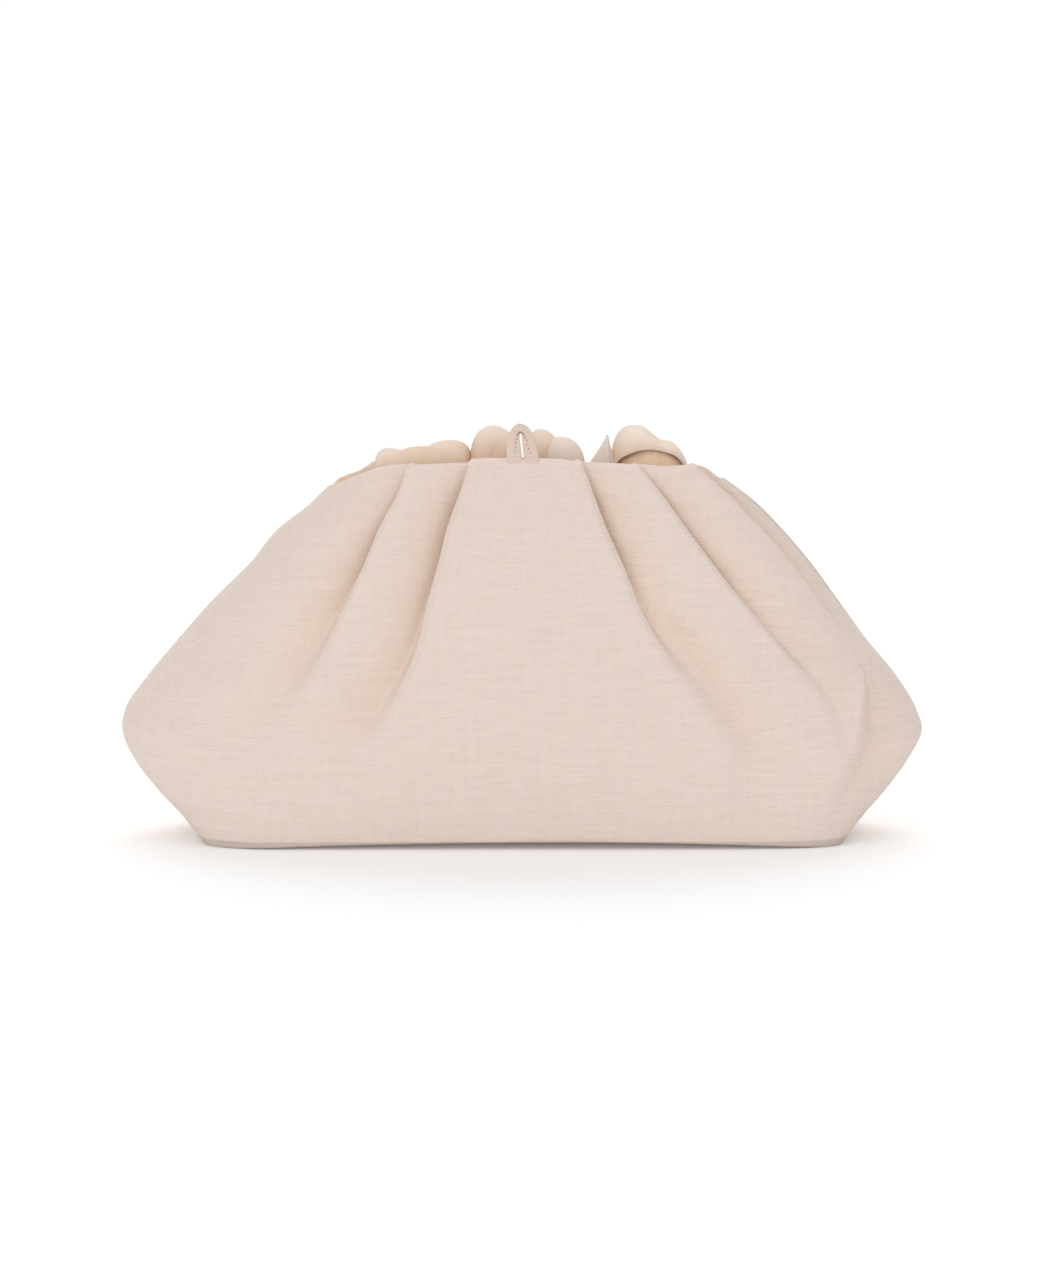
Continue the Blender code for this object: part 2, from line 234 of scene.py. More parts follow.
front_bends = (
    bend(0.0010, 0.016, 0.006, [
        (0.52, 0.88, 0.0),
        (0.42, 0.840, 0.7),
        (0.30, 0.810, 1.0),
        (0.12, 0.830, 0.9),
        (0.00, 0.86, 0.3),
    ]),
    bend(0.0040, 0.020, 0.002, [
        (0.44, -0.98, 0.0),
        (0.37, -0.92, 0.6),
        (0.31, -0.84, 1.0),
        (0.24, -0.75, 1.0),
        (0.11, -0.76, 1.0),
        (0.00, -0.80, 0.6),
    ]),
    bend(-0.0026, 0.0040, 0.0006, [
        (0.66, 0.415, 0.0),
        (0.60, 0.468, 1.0),
        (0.49, 0.510, 1.0),
        (0.38, 0.540, 0.7),
        (0.24, 0.570, 0.0),
    ]),
)
back_bends = (
    bend(0.0020, 0.020, 0.003, [
        (0.50, 0.93, 0.0),
        (0.36, 0.90, 1.0),
        (0.12, 0.84, 0.9),
        (0.00, 0.82, 0.4),
    ]),
    bend(0.0020, 0.022, 0.003, [
        (0.50, -0.93, 0.0),
        (0.36, -0.90, 1.0),
        (0.12, -0.82, 0.9),
        (0.00, -0.80, 0.4),
    ]),
)


def plain_crease(top, foot):
    """A straight pleat of the back, which the front view hides."""
    return crease([
        (1.00, top, 0.00, 1.0, 0.0),
        (0.80, foot + (top - foot) * 0.80, 0.80, 1.4, 0.6),
        (0.50, foot + (top - foot) * 0.50, 0.50, 3.0, 0.1),
        (0.25, foot + (top - foot) * 0.25, 0.15, 5.0, 0.0),
        (0.00, foot, 0.00, 6.0, 0.0),
    ])


back_pleats = ((-0.60, -0.78), (-0.26, -0.52), (0.26, 0.52), (0.60, 0.78))
back_creases = tuple(plain_crease(top, foot) for top, foot in back_pleats)
back_cells = (44, 28, 52, 28, 44)


def curve(at, values, t):
    """A smooth curve through a table's points: a cubic in each span, whose slope at a point is the slope
    of the parabola through it and its neighbours."""
    t = np.clip(t, at[0], at[-1])
    slope = np.gradient(values, at)
    span = np.clip(np.searchsorted(at, t) - 1, 0, len(at) - 2)
    size = at[span + 1] - at[span]
    u = (t - at[span]) / size
    start = values[span] * (1 + 2 * u) * (1 - u) ** 2 + slope[span] * size * u * (1 - u) ** 2
    return start + values[span + 1] * u**2 * (3 - 2 * u) + slope[span + 1] * size * u**2 * (u - 1)


def ring(t, side):
    """Half outline of the pouch at a height, left seam to right: |x / a|^n + |y / b|^n = 1 in polar form,
    with its own half width a on each side, drawn in near the middle where it meets the floor."""
    left, right, depth, n = (curve(sections.height, sections[name], t) for name in sections.dtype.names[1:])
    angle = np.linspace(math.pi, 0.0, ring_steps)
    a = np.where(angle > math.pi / 2, left, right) * half_width
    b = depth * half_depth - seam_gap / 2
    radius = (np.abs(np.cos(angle) / a) ** n + np.abs(np.sin(angle) / b) ** n) ** (-1.0 / n)
    x = radius * np.cos(angle)
    from_lift = x / a - recess_place
    off_middle = np.clip(from_lift / np.where(from_lift < 0, recess_left, recess_right), -1.0, 1.0)
    lift = recess_height * (1.0 - off_middle**2) + least_height
    fade = np.maximum(0.0, 1.0 - t * seam_height / lift)
    reach = radius * np.sin(angle) - base_recess * (1.0 - off_middle**2) * fade
    y = side * (seam_gap / 2 + np.maximum(reach, 0.0))
    step_x, step_y = np.gradient(x), np.gradient(y)
    size = np.maximum(np.hypot(step_x, step_y), tiny)
    length = np.concatenate([[0.0], np.cumsum(np.hypot(np.diff(x), np.diff(y)))])
    return {
        "x": x,
        "y": y,
        "normal_x": -side * step_y / size,
        "normal_y": side * step_x / size,
        "length": length,
        "left": left * half_width,
        "right": right * half_width,
    }


def eased_run(start, end, cells):
    """Even steps from one crease to the next, drawn together near both."""
    even = np.linspace(0.0, 1.0, cells + 1)
    return start + (end - start) * 0.5 * (even + 0.5 * (1.0 - np.cos(math.pi * even)))


def pleats_at(t, creases, place_of, lining):
    """Each pleat at a height: its place along the outline, depth, spread, lap and side of the middle. The
    lining's pleats lie a little nearer the middle and have no laps."""
    pleats = []
    for pleat in creases:
        across = curve(pleat.height, pleat.across, t)
        depth = max(0.0, np.interp(t, pleat.height, pleat.depth)) * fold_depth
        spread = curve(pleat.height, pleat.width, t)
        lap = np.interp(t, pleat.height, pleat.lap) * (depth > 0)
        sign = 1.0 if across > 0 else -1.0
        place = place_of(across)
        if lining:
            place -= sign * (lap * fold_overlap + lining_shift * depth)
            lap = 0.0
        pleats.append((place, depth, spread, lap, sign))
    return pleats


def row_spots(pleats, end, cells):
    """Points along a row from 0 to its end: their places, their places without laps, and their depths on a
    pleat's step, or -1 off it. At a pleat at length p the cloth steps in by d over the run r from -1 to 1:
    the place is p + w r - o sin(pi r) and the depth d times smoothstep, so the upper layer laps over."""
    spots, nominal, own = [], [], []
    start = 0.0
    for number, (place, depth, spread, lap, sign) in enumerate(pleats):
        width = spread * fold_step
        run = eased_run(start, place - width, cells[number])
        turn = sign * np.linspace(-1.0, 1.0, step_cells + 1)[1:-1]
        rise = 0.5 + 0.5 * turn
        spots += [run, place + sign * (width * turn - lap * fold_overlap * np.sin(math.pi * turn))]
        nominal += [run, place + sign * width * turn]
        own += [np.full(len(run), -1.0), depth * rise**2 * (3 - 2 * rise)]
        start = place + width
    run = eased_run(start, end, cells[-1])
    own.append(np.full(len(run), -1.0))
    return np.concatenate(spots + [run]), np.concatenate(nominal + [run]), np.concatenate(own)


def row_depths(t, nominal, own, pleats, bends, place_of):
    """How far each point of a row lies inside the outline. Beyond a pleat's step its depth fades away,
    steeply at first where the layers lap, and before the step a low lip stands out. A bend adds
    a exp(-s / w) outward at the distance s from its line, rounded off close to it."""
    inward = np.zeros_like(nominal)
    for place, depth, spread, lap, sign in pleats:
        width = spread * fold_step
        beyond = sign * (nominal - place) - width
        reach = np.clip(beyond / fold_reach, 0.0, 1.0)
        ease = (1.0 - reach) ** 2 * (1.0 + 2.0 * reach)
        steep = np.clip(fold_open_share + lap, 0.0, 1.0) * fold_steepness
        near = np.exp(-np.maximum(beyond, 0.0) / (fold_near * math.sqrt(spread))) * (1.0 - reach)
        valley = depth * (steep * near + (1.0 - steep) * ease)
        lip = -lip_roll * depth * np.exp(-(((beyond + 2 * width) / lip_reach) ** 2))
        within = np.abs(nominal - place) < width * step_edge
        inward += np.where(within, own, np.where(beyond < -width, lip, valley))
    for line, swell, width, round_off in bends:
        fade = np.interp(t, line.height, line.share)
        distance = np.abs(nominal - place_of(curve(line.height, line.across, t)))
        inward -= swell * fade * np.exp(-(np.sqrt(distance**2 + round_off**2) - round_off) / width)
    return inward


def panel_row(t, side, creases, bends, cells, lining):
    """One row across a panel: the outline at its height, moved in along its normals by the depths of the
    pleats. The rim's rise comes in with the fourth power of the height, and its sag with the eighth."""
    outline = ring(t, side)
    x, length = outline["x"], outline["length"]

    def place_of(across):
        return np.interp(across * (outline["right"] if across > 0 else outline["left"]), x, length)

    pleats = pleats_at(t, creases, place_of, lining)
    spots, nominal, own = row_spots(pleats, length[-1], cells)
    inward = row_depths(t, nominal, own, pleats, bends, place_of)
    half = np.where(np.interp(nominal, length, x) < 0, outline["left"], outline["right"])
    share = np.interp(nominal, length, x) / half
    if side == BACK:
        rise = back_rise * (1.0 - share**2)
    else:
        rise = front_rise * np.interp(share, front_rim.across, front_rim.rise)
    z = t * seam_height + t**4 * rise - t**8 * corner_drop * np.exp(-(((share + 1.0) / corner_reach) ** 2))
    normal_x = np.interp(nominal, length, outline["normal_x"])
    normal_y = np.interp(nominal, length, outline["normal_y"])
    x_row = np.interp(spots, length, x) - inward * normal_x
    y_row = np.interp(spots, length, outline["y"]) - inward * normal_y
    x_row[0], x_row[-1] = x[0], x[-1]
    y_row[0] = y_row[-1] = side * seam_gap / 2
    middle = np.interp(0.0, x, length)
    # Painted shade: the deeper a point lies in a fold, the more its colour is darkened towards the shade
    # colour
    fold_shade = np.clip(inward / fold_depth * fold_shade_gain, 0.0, 1.0)
    return np.stack([x_row, y_row, z], axis=1), nominal - middle, fold_shade


def panel_grid(side, creases, bends, cells, lining):
    """A panel's face as rows of points: flat base rows out from the seam under the pouch, then the walls.
    Also the cloth's own coordinates, its length round the pouch and its length up the middle, and how deep
    in a fold each point lies, which sets the painted shade in its colour."""
    low = np.linspace(0.0, low_band, low_rows, endpoint=False)
    heights = np.concatenate([low, np.linspace(low_band, 1.0, wall_rows)])
    rows = [panel_row(t, side, creases, bends, cells, lining) for t in heights]
    foot, along, _ = rows[0]
    share = (along - along[0]) / (along[-1] - along[0])
    left, right = -foot[0, 0], foot[-1, 0]
    seam_x = base_seam_share * (-left + (left + right) * share)
    seam = np.stack([seam_x, np.full_like(seam_x, side * seam_gap / 2), np.zeros_like(seam_x)], axis=1)
    reach = np.linspace(0.0, 1.0, base_rows, endpoint=False)[:, None, None]
    points = np.concatenate([seam + (foot - seam) * reach, [row for row, _, _ in rows]])
    along = np.concatenate([np.repeat(along[None], len(reach), axis=0), [lengths for _, lengths, _ in rows]])
    fold_shade = np.concatenate([np.zeros((len(reach), points.shape[1])), [fold_shades for _, _, fold_shades in rows]])
    middle = points.shape[1] // 2
    climb = np.linalg.norm(np.diff(points[:, middle], axis=0), axis=1)
    up = np.concatenate([[0.0], np.cumsum(climb)])[:, None] * np.ones(points.shape[1])
    return points, np.stack([along, up], axis=2), fold_shade


def grid_normals(points, turn):
    """Unit normals of a grid, the cross product of its differences along and across its rows."""
    normals = turn * np.cross(np.gradient(points, axis=1), np.gradient(points, axis=0))
    return normals / np.maximum(np.linalg.norm(normals, axis=2, keepdims=True), tiny)


def new_piece(name, points, faces, cloth=None):
    """A smooth piece from its points and faces, turned outward. Cloth is each point's own place on the
    cloth in metres, which the weave follows."""
    mesh = bpy.data.meshes.new(name)
    mesh.from_pydata(points.reshape(-1, 3), [], faces)
    if cloth is not None:
        corners = np.zeros(len(mesh.loops), dtype=np.int32)
        mesh.loops.foreach_get("vertex_index", corners)
        mesh.uv_layers.new(name="cloth").data.foreach_set("uv", cloth.reshape(-1, 2)[corners].ravel())
    work = bmesh.new()
    work.from_mesh(mesh)
    bmesh.ops.recalc_face_normals(work, faces=work.faces)
    work.to_mesh(mesh)
    work.free()
    mesh.shade_smooth()
    piece = bpy.data.objects.new(name, mesh)
    bpy.context.collection.objects.link(piece)
    return piece


def closed_wall(name, outer, inner, cloth, fold_shade):
    """A closed sheet of cloth between two grids: the outer face, a half-round fold over the top edge, the
    inner face, and flat strips down the sides and along the foot. Fold shade says how deep in a fold it lies
    and so how much painted shade its colour gets; the rolled edge takes the top row's, and the inner face
    is painted fully shaded."""
    middle = (outer[-1] + inner[-1]) / 2
    away = outer[-1] - middle
    climb = outer[-1] - outer[-2]
    climb -= away * (np.sum(climb * away, axis=1) / np.sum(away * away, axis=1))[:, None]
    climb *= (np.linalg.norm(away, axis=1) / np.linalg.norm(climb, axis=1))[:, None]
    angle = (np.arange(1, roll_rows + 1) * math.pi / (roll_rows + 1))[:, None, None]
    roll = middle + np.cos(angle) * away + np.sin(angle) * climb
    rows = np.concatenate([outer, roll, inner[::-1]])
    uv = np.concatenate([cloth, np.repeat(cloth[-1][None], roll_rows, axis=0), cloth[::-1]])
    count, columns = rows.shape[:2]
    index = np.arange(count * columns).reshape(count, columns)
    below, above = index, np.roll(index, -1, axis=0)
    quads = np.stack([below[:, :-1], below[:, 1:], above[:, 1:], above[:, :-1]], axis=2).reshape(-1, 4)
    tall = len(outer)
    faces = quads.tolist()
    for column in (0, columns - 1):
        edge = index[:, column]
        here, there = edge[: tall - 1], edge[1:tall]
        across, back = edge[::-1][1:tall], edge[::-1][: tall - 1]
        faces += np.stack([here, there, across, back], axis=1).tolist()
        faces.append(edge[tall - 1 : tall + roll_rows + 1].tolist())
    piece = new_piece(name, rows, faces, uv)
    # Painted shade: the rolled edge repeats the top row's, and the whole inner face is painted fully shaded
    fold_shades = np.concatenate([fold_shade, np.repeat(fold_shade[-1][None], roll_rows, axis=0), np.ones_like(fold_shade)])
    piece.data.attributes.new("fold_shade", "FLOAT", "POINT").data.foreach_set("value", fold_shades.ravel())
    return piece


def make_panel(name, side, creases, bends, cells):
    """A panel with its lining face set in along the normals by one cloth thickness, more at the hem."""
    outer, cloth, fold_shade = panel_grid(side, creases, bends, cells, False)
    inner, _, _ = panel_grid(side, creases, bends, cells, True)
    normals = np.zeros_like(inner)
    normals[:base_rows, :, 2] = -1.0
    normals[base_rows:] = grid_normals(inner[base_rows - 1 :], -side)[1:]
    for edge in (normals[:, 0], normals[:, -1]):
        edge[:, 1] = 0.0
        edge /= np.linalg.norm(edge, axis=1, keepdims=True)
    drop = np.clip((inner[-1, :, 2] - inner[:, :, 2]) / hem_drop, 0.0, 1.0)
    thick = hem + (wall - hem) * drop
    inner = inner - normals * thick[:, :, None]
    inner[:, :, 1] = side * np.maximum(side * inner[:, :, 1], seam_gap / 2)
    return closed_wall(name, outer, inner, cloth, fold_shade)


front_cloth = make_panel("front_cloth", FRONT, front_creases, front_bends, front_cells)
back_cloth = make_panel("back_cloth", BACK, back_creases, back_bends, back_cells)


def new_group(name, inputs, outputs):
    """An empty shader group with its named sockets, given as pairs of name and type."""
    group = bpy.data.node_groups.new(name, "ShaderNodeTree")
    for label, kind in inputs:
        group.interface.new_socket(label, in_out="INPUT", socket_type=kind)
    for label, kind in outputs:
        group.interface.new_socket(label, in_out="OUTPUT", socket_type=kind)
    return group, group.nodes.new("NodeGroupInput"), group.nodes.new("NodeGroupOutput")


def math_node(tree, operation, *values, clamp=False):
    """A Math node over its values, each a socket or a number."""
    node = tree.nodes.new("ShaderNodeMath")
    node.operation = operation
    node.use_clamp = clamp
    for socket, value in zip(node.inputs, values):
        if isinstance(value, bpy.types.NodeSocket):
            tree.links.new(value, socket)
        else:
            socket.default_value = value
    return node.outputs[0]


def mix_node(tree, factor, first, second, blend="MIX"):
    """A colour Mix node between two colours, each a socket or its three values."""
    node = tree.nodes.new("ShaderNodeMix")
    node.data_type = "RGBA"
    node.blend_type = blend
    tree.links.new(factor, node.inputs["Factor"])
    for socket, colour in ((node.inputs[6], first), (node.inputs[7], second)):
        if isinstance(colour, bpy.types.NodeSocket):
            tree.links.new(colour, socket)
        else:
            socket.default_value = (*colour, 1.0)
    return node.outputs[2]


def noise_node(tree, vector, scale, detail=2.0):
    """Noise over a position, with about that many grains a metre along each axis."""
    mapping = tree.nodes.new("ShaderNodeMapping")
    mapping.inputs["Scale"].default_value = scale
    noise = tree.nodes.new("ShaderNodeTexNoise")
    noise.inputs["Scale"].default_value = 1.0
    noise.inputs["Detail"].default_value = detail
    tree.links.new(vector, mapping.inputs["Vector"])
    tree.links.new(mapping.outputs[0], noise.inputs["Vector"])
    return noise.outputs["Fac"]


# The weave's ribs in radians of their sine a metre, a rib each 0.95 mm up the cloth and 0.8 mm across it,
# and how far noise sways them, also in radians
weft_turn = 6614.0
warp_turn = 7854.0
weft_sway = 12.0
warp_sway = 14.0
weft_share = 1.4
warp_share = 0.6
slub_level = 0.68
slub_rise = 4.0
mottle = 0.9
patch_contrast = 5.0
patch_level = -2.0
yellower_tint = (1.0, 0.998, 0.975)
least_rough = 0.75
rough_spread = 0.2


def thread_ribs(tree, along, turn, sway, wave, body):
    """Ribs of one set of threads: 0.5 + 0.5 sin(turn p + sway w) times the body b, where p is the place
    across the threads, and w and b are noise stretched along them."""
    turned = math_node(tree, "MULTIPLY", along, turn)
    place = math_node(tree, "ADD", turned, math_node(tree, "MULTIPLY", wave, sway))
    rib = math_node(tree, "MULTIPLY_ADD", math_node(tree, "SINE", place), 0.5, 0.5)
    return math_node(tree, "MULTIPLY", rib, body)


def plain_weave():
    """Plain weave: ribs across the cloth and finer ones up it, with a few slubs. Streaks both ways and the
    ribs' own height mix the gap's colour into the thread's, and patches here and there are yellower."""
    group, start, end = new_group(
        "plain weave",
        [
            ("Position", "NodeSocketVector"),
            ("Thread", "NodeSocketColor"),
            ("Gap", "NodeSocketColor"),
            ("Contrast", "NodeSocketFloat"),
        ],
        [("Color", "NodeSocketColor"), ("Height", "NodeSocketFloat"), ("Roughness", "NodeSocketFloat")],
    )
    position = start.outputs["Position"]
    split = group.nodes.new("ShaderNodeSeparateXYZ")
    group.links.new(position, split.inputs[0])
    weft_wave = noise_node(group, position, (60.0, 260.0, 1.0))
    warp_wave = noise_node(group, position, (300.0, 50.0, 1.0))
    weft_body = noise_node(group, position, (90.0, 1300.0, 1.0), 3.0)
    warp_body = noise_node(group, position, (1300.0, 70.0, 1.0), 3.0)
    weft = thread_ribs(group, split.outputs[1], weft_turn, weft_sway, weft_wave, weft_body)
    warp = thread_ribs(group, split.outputs[0], warp_turn, warp_sway, warp_wave, warp_body)
    ribs = math_node(group, "MULTIPLY", weft, weft_share)
    threads = math_node(group, "ADD", ribs, math_node(group, "MULTIPLY", warp, warp_share))
    slub_noise = noise_node(group, position, (160.0, 1500.0, 1.0), 1.0)
    thick = math_node(group, "MAXIMUM", math_node(group, "SUBTRACT", slub_noise, slub_level), 0.0)
    height = math_node(group, "ADD", threads, math_node(group, "MULTIPLY", thick, slub_rise))
    upright = noise_node(group, position, (420.0, 45.0, 1.0), 4.0)
    level = noise_node(group, position, (55.0, 520.0, 1.0), 4.0)
    streaks = math_node(group, "SUBTRACT", math_node(group, "ADD", upright, level), 1.0)
    uneven = math_node(group, "MULTIPLY", streaks, mottle)
    fine = math_node(group, "MULTIPLY", math_node(group, "SUBTRACT", height, 0.5), mottle)
    both = math_node(group, "ADD", uneven, fine)
    centred = math_node(group, "MULTIPLY", both, start.outputs["Contrast"])
    mask = math_node(group, "ADD", centred, 0.5, clamp=True)
    woven = mix_node(group, mask, start.outputs["Gap"], start.outputs["Thread"])
    patches = noise_node(group, position, (190.0, 70.0, 1.0), 3.0)
    yellower = math_node(group, "MULTIPLY_ADD", patches, patch_contrast, patch_level, clamp=True)
    group.links.new(mix_node(group, yellower, woven, yellower_tint, "MULTIPLY"), end.inputs["Color"])
    group.links.new(height, end.inputs["Height"])
    rough = math_node(group, "MULTIPLY_ADD", warp_body, rough_spread, least_rough)
    group.links.new(rough, end.inputs["Roughness"])
    return group


weave = plain_weave()


def cloth_finish(name, thread, gap, shade_colour, contrast, bump):
    """A woven cloth: the weave's colour, multiplied by a painted shade colour where it lies deep in a fold,
    and the weave's roughness and relief on a soft, slightly fuzzy surface."""
    material = bpy.data.materials.new(name)
    material.use_nodes = True
    tree = material.node_tree
    shader = tree.nodes["Principled BSDF"]
    place = tree.nodes.new("ShaderNodeUVMap")
    place.uv_map = "cloth"
    woven = tree.nodes.new("ShaderNodeGroup")
    woven.node_tree = weave
    woven.inputs["Thread"].default_value = (*thread, 1.0)
    woven.inputs["Gap"].default_value = (*gap, 1.0)
    woven.inputs["Contrast"].default_value = contrast
    tree.links.new(place.outputs["UV"], woven.inputs["Position"])
    # Painted shade: the fold-depth attribute multiplies the shade colour into the weave's colour
    shade_attribute = tree.nodes.new("ShaderNodeAttribute")
    shade_attribute.attribute_name = "fold_shade"
    shaded_colour = mix_node(tree, shade_attribute.outputs["Fac"], woven.outputs["Color"], shade_colour, "MULTIPLY")
    tree.links.new(shaded_colour, shader.inputs["Base Color"])
    tree.links.new(woven.outputs["Roughness"], shader.inputs["Roughness"])
    relief = tree.nodes.new("ShaderNodeBump")
    relief.inputs["Strength"].default_value = bump
    relief.inputs["Distance"].default_value = 0.0002
    tree.links.new(woven.outputs["Height"], relief.inputs["Height"])
    tree.links.new(relief.outputs["Normal"], shader.inputs["Normal"])
    shader.inputs["Sheen Weight"].default_value = 0.1
    shader.inputs["Sheen Roughness"].default_value = 0.6
    shader.inputs["Specular IOR Level"].default_value = 0.2
    return material


blush_cloth = cloth_finish(
    "blush_cloth",
    thread=(0.747, 0.631, 0.579),
    gap=(0.665, 0.552, 0.495),
    # Painted shade colour for the pleats' hollows and the inside of the pouch
    shade_colour=(1.0, 0.95, 0.88),
    contrast=0.7,
    bump=0.8,
)
for panel, node in ((front_cloth, "front_panel"), (back_cloth, "back_panel")):
    panel.data.materials.append(blush_cloth)
    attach(panel, "root")
    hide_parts(node)


# Gathered strips in the mouth
# The pouch's inner edge is a folded strip of the same cloth, gathered into soft round lobes that stand
# over the rim in two ranks. At the right a thin petal leans beside a large fold that hoods a hollow, where
# a tan sheet set inside carries painted shade for the hollow.
gather_wall = 0.0010
gather_tail = 0.012
lobe_height = 0.011
crest_lean = 0.45
knee_drop = 0.004
valley_rounding = 1.6
valley_reach = 5
# Painted shade on the lobes' lower faces, growing from the crest down
pinch_shade = 0.60
lobe_cells = 22
leg_cells = 6
crest_cells = 30

# Fine puckers near the strip's foot: their height, and each wave's share, radians a metre and start
pucker = 0.0003
pucker_waves = ((1.0, 740, 1.3), (0.7, 1310, 0.4))


def lobes(rows):
    """Stations along a strip, valley and lobe by turns, given in millimetres: place in x, height of the
    crest, where its front and back faces lie in y, how full the lobe's sides are (2 is a quarter ellipse)
    and how much painted shade its cloth gets there beyond what its depth alone gives."""
    table = np.rec.array(rows, names="x,crest,front,back,fullness,warmth")
    for name in ("x", "crest", "front", "back"):
        table[name] *= 0.001
    return table


rear_left_lobes = lobes([
    (-77.2, 138.9, -0.4, 1.4, 1.0, 0.9),
    (-73.5, 142.7, -1.2, 3.6, 1.0, 0.9),
    (-69.5, 144.1, 0.5, 6.2, 1.0, 0.8),
    (-65.5, 145.3, 3.0, 8.6, 1.0, 0.6),
    (-62.0, 147.4, 5.8, 10.4, 1.0, 0.4),
    (-60.2, 148.9, 6.6, 11.0, 1.0, 0.3),
    (-59.3, 148.7, 6.8, 11.2, 2.0, 0.3),
    (-54.0, 154.3, 5.0, 13.0, 2.0, 0.0),
    (-46.5, 149.5, 9.5, 15.0, 2.0, 0.4),
    (-44.0, 150.5, 8.5, 15.3, 2.0, 0.2),
    (-41.0, 149.0, 10.0, 15.6, 2.0, 0.6),
    (-28.7, 157.3, 5.0, 16.5, 2.2, 0.3),
    (-20.9, 151.5, 9.5, 17.0, 2.0, 1.0),
    (-11.8, 163.2, 5.0, 16.5, 2.1, 0.1),
    (-1.6, 148.5, 10.0, 17.0, 2.0, 1.0),
    (-0.5, 149.0, 9.5, 17.0, 2.0, 1.0),
    (0.6, 148.5, 10.0, 17.0, 2.0, 1.0),
    (6.8, 161.8, 5.5, 16.5, 2.0, 0.2),
    (15.0, 152.0, 9.5, 17.0, 2.0, 0.8),
    (18.5, 154.0, 7.5, 16.5, 2.0, 0.4),
    (23.5, 146.0, 11.0, 17.0, 2.0, 0.6),
])
front_left_lobes = lobes([
    (-55.5, 145.5, 3.5, 8.0, 2.0, 0.5),
    (-40.6, 155.3, -0.6, 8.0, 2.0, 0.6),
    (-23.5, 146.5, 3.0, 8.0, 2.0, 1.0),
    (-18.5, 149.5, 2.2, 7.5, 2.0, 0.6),
    (-12.9, 146.5, 3.5, 8.0, 2.0, 1.0),
    (-5.6, 161.3, -0.2, 7.5, 1.9, 0.5),
    (-1.6, 147.5, 3.5, 7.5, 2.0, 1.0),
    (3.5, 149.0, 2.8, 7.5, 2.0, 1.0),
    (8.9, 147.0, 3.5, 8.0, 2.0, 1.0),
    (14.9, 159.2, -0.6, 7.5, 2.2, -0.2),
    (25.3, 145.8, 4.0, 8.5, 1.9, 0.4),
])
petal_lobes = lobes([
    (25.6, 147.2, 1.5, 4.5, 1.0, -0.5),
    (34.1, 160.4, -0.3, 3.5, 0.92, -0.5),
    (37.6, 147.2, 1.5, 4.5, 1.0, -0.5),
])
hood_lobes = lobes([
    (35.3, 147.0, 6.0, 11.0, 1.0, 1.4),
    (43.8, 163.7, -0.4, 12.0, 2.3, 0.0),
    (49.0, 162.6, -0.2, 12.0, 1.0, 0.0),
    (49.8, 162.2, -0.1, 12.0, 1.0, 0.1),
    (54.2, 158.5, 0.7, 12.0, 1.0, 0.4),
    (58.4, 157.4, 0.2, 11.6, 1.6, 0.1),
    (66.6, 145.5, 5.5, 9.8, 1.0, 0.3),
])

# The hood's lower front edge, in place and height
hood_edge = np.array([
    (35.3, 145.5),
    (38.1, 149.6),
    (42.6, 152.4),
    (49.2, 154.1),
    (55.9, 153.4),
    (62.6, 150.6),
    (66.6, 145.5),
]) * 0.001
# A sheet inside the hood's hollow, fully marked for painted shade at every station
hollow_lobes = lobes([
    (37.3, 145.5, 4.5, 8.5, 1.0, 1.0),
    (51.0, 156.5, 1.5, 8.5, 1.7, 1.0),
    (65.0, 145.0, 5.0, 8.5, 1.0, 1.0),
])


def lobe_line(table, name):
    """A column along the strip. From a valley to its lobe the place is 1 - cos(a)^(2/f) of the way and every
    other column sin(a)^(2/f) of it, so a fullness f of 2 gives round lobes with sharp valleys between. A
    bell-shaped mean over a few cells then rounds the valleys a little."""
    values = table[name]
    rise = np.arange(lobe_cells) / lobe_cells * math.pi / 2
    line = []
    for i in range(len(table) - 1):
        valley, lobe = (i, i + 1) if i % 2 == 0 else (i + 1, i)
        power = 2.0 / table.fullness[lobe]
        angle = rise if valley < lobe else math.pi / 2 - rise
        share = 1.0 - np.cos(angle) ** power if name == "x" else np.sin(angle) ** power
        line.append(values[valley] + (values[lobe] - values[valley]) * share)
    line = np.append(np.concatenate(line), values[-1])
    taps = np.exp(-0.5 * (np.arange(-valley_reach, valley_reach + 1) / valley_rounding) ** 2)
    padded = np.pad(line, valley_reach, mode="edge")
    return np.convolve(padded, taps / taps.sum(), mode="valid")


